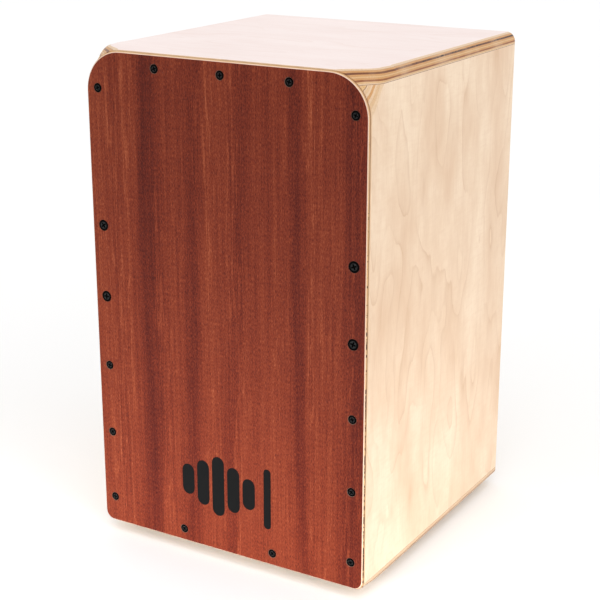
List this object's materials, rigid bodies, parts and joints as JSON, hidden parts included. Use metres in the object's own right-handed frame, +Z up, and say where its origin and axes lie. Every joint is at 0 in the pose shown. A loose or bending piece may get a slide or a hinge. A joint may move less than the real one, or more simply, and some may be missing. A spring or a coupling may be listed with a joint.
{
  "type": "cajon",
  "caption": "Plywood box drum with a screwed thin playing plate, rounded upper corners, rear sound hole, inner snare wires on a turning bar, and rubber feet.",
  "frame": {"origin": "centre of the footprint on the floor, at the feet's undersides", "axes": "+Z up; the playing plate faces -Y, so -Y is the front; +X is to the right of someone who faces the plate"},
  "size_m": [0.3, 0.303, 0.49],
  "materials": {
    "red_veneer_ply": "red-brown ribbon-figured face veneer under satin varnish, pale bare ply edge",
    "birch_ply": "pale birch face veneer under satin varnish",
    "seat_ply": "very pale birch face veneer, layers showing in the rounded edges",
    "plain_ply": "bare birch plywood, sanded",
    "softwood": "planed pine strips",
    "beech": "planed beech",
    "black_steel": "black phosphated steel, low sheen",
    "zinc_steel": "bright zinc plated steel",
    "snare_steel": "drawn steel wire",
    "brass_strip": "rolled brass strip with solder along the wires",
    "black_rubber": "moulded matt rubber"
  },
  "bodies": {
    "shell": {"front_plate": "red_veneer_ply", "top_panel": "seat_ply", "bottom_panel": "plain_ply", "side_panel_left": "birch_ply", "side_panel_right": "birch_ply", "back_panel": "plain_ply", "front_batten_left": "softwood", "front_batten_right": "softwood", "front_batten_top": "softwood", "front_batten_bottom": "softwood", "back_batten_left": "softwood", "back_batten_right": "softwood", "back_batten_top": "softwood", "back_batten_bottom": "softwood", "corner_block_left": "softwood", "corner_block_right": "softwood", "front_plate_screws": "black_steel", "wide_plate_screws": "black_steel", "foot_front_left": "black_rubber", "foot_front_right": "black_rubber", "foot_back_left": "black_rubber", "foot_back_right": "black_rubber", "foot_washers": "zinc_steel", "foot_screws": "zinc_steel", "snare_block_left": "beech", "snare_block_right": "beech"},
    "snare": {"snare_bar": "beech", "snare_base_plate_left": "brass_strip", "snare_base_plate_right": "brass_strip", "snare_end_plate_left": "brass_strip", "snare_end_plate_right": "brass_strip", "snare_wires_left": "snare_steel", "snare_wires_right": "snare_steel", "snare_plate_screws": "zinc_steel"},
    "slap_screw_left": {"slap_screw_left": "black_steel"},
    "slap_screw_right": {"slap_screw_right": "black_steel"}
  },
  "joints": [
    {"name": "snare_bar_turn", "type": "hinge", "parent": "shell", "child": "snare", "pos_m": [0, -0.1185, 0.35], "axis": [1, 0, 0], "range_deg": [-30, 0]},
    {"name": "slap_screw_left_turn", "type": "hinge", "parent": "shell", "child": "slap_screw_left", "pos_m": [-0.136, -0.1515, 0.4535], "axis": [0, -1, 0], "range_deg": [0, 720]},
    {"name": "slap_screw_right_turn", "type": "hinge", "parent": "shell", "child": "slap_screw_right", "pos_m": [0.136, -0.1515, 0.4535], "axis": [0, -1, 0], "range_deg": [0, 720]}
  ]
}
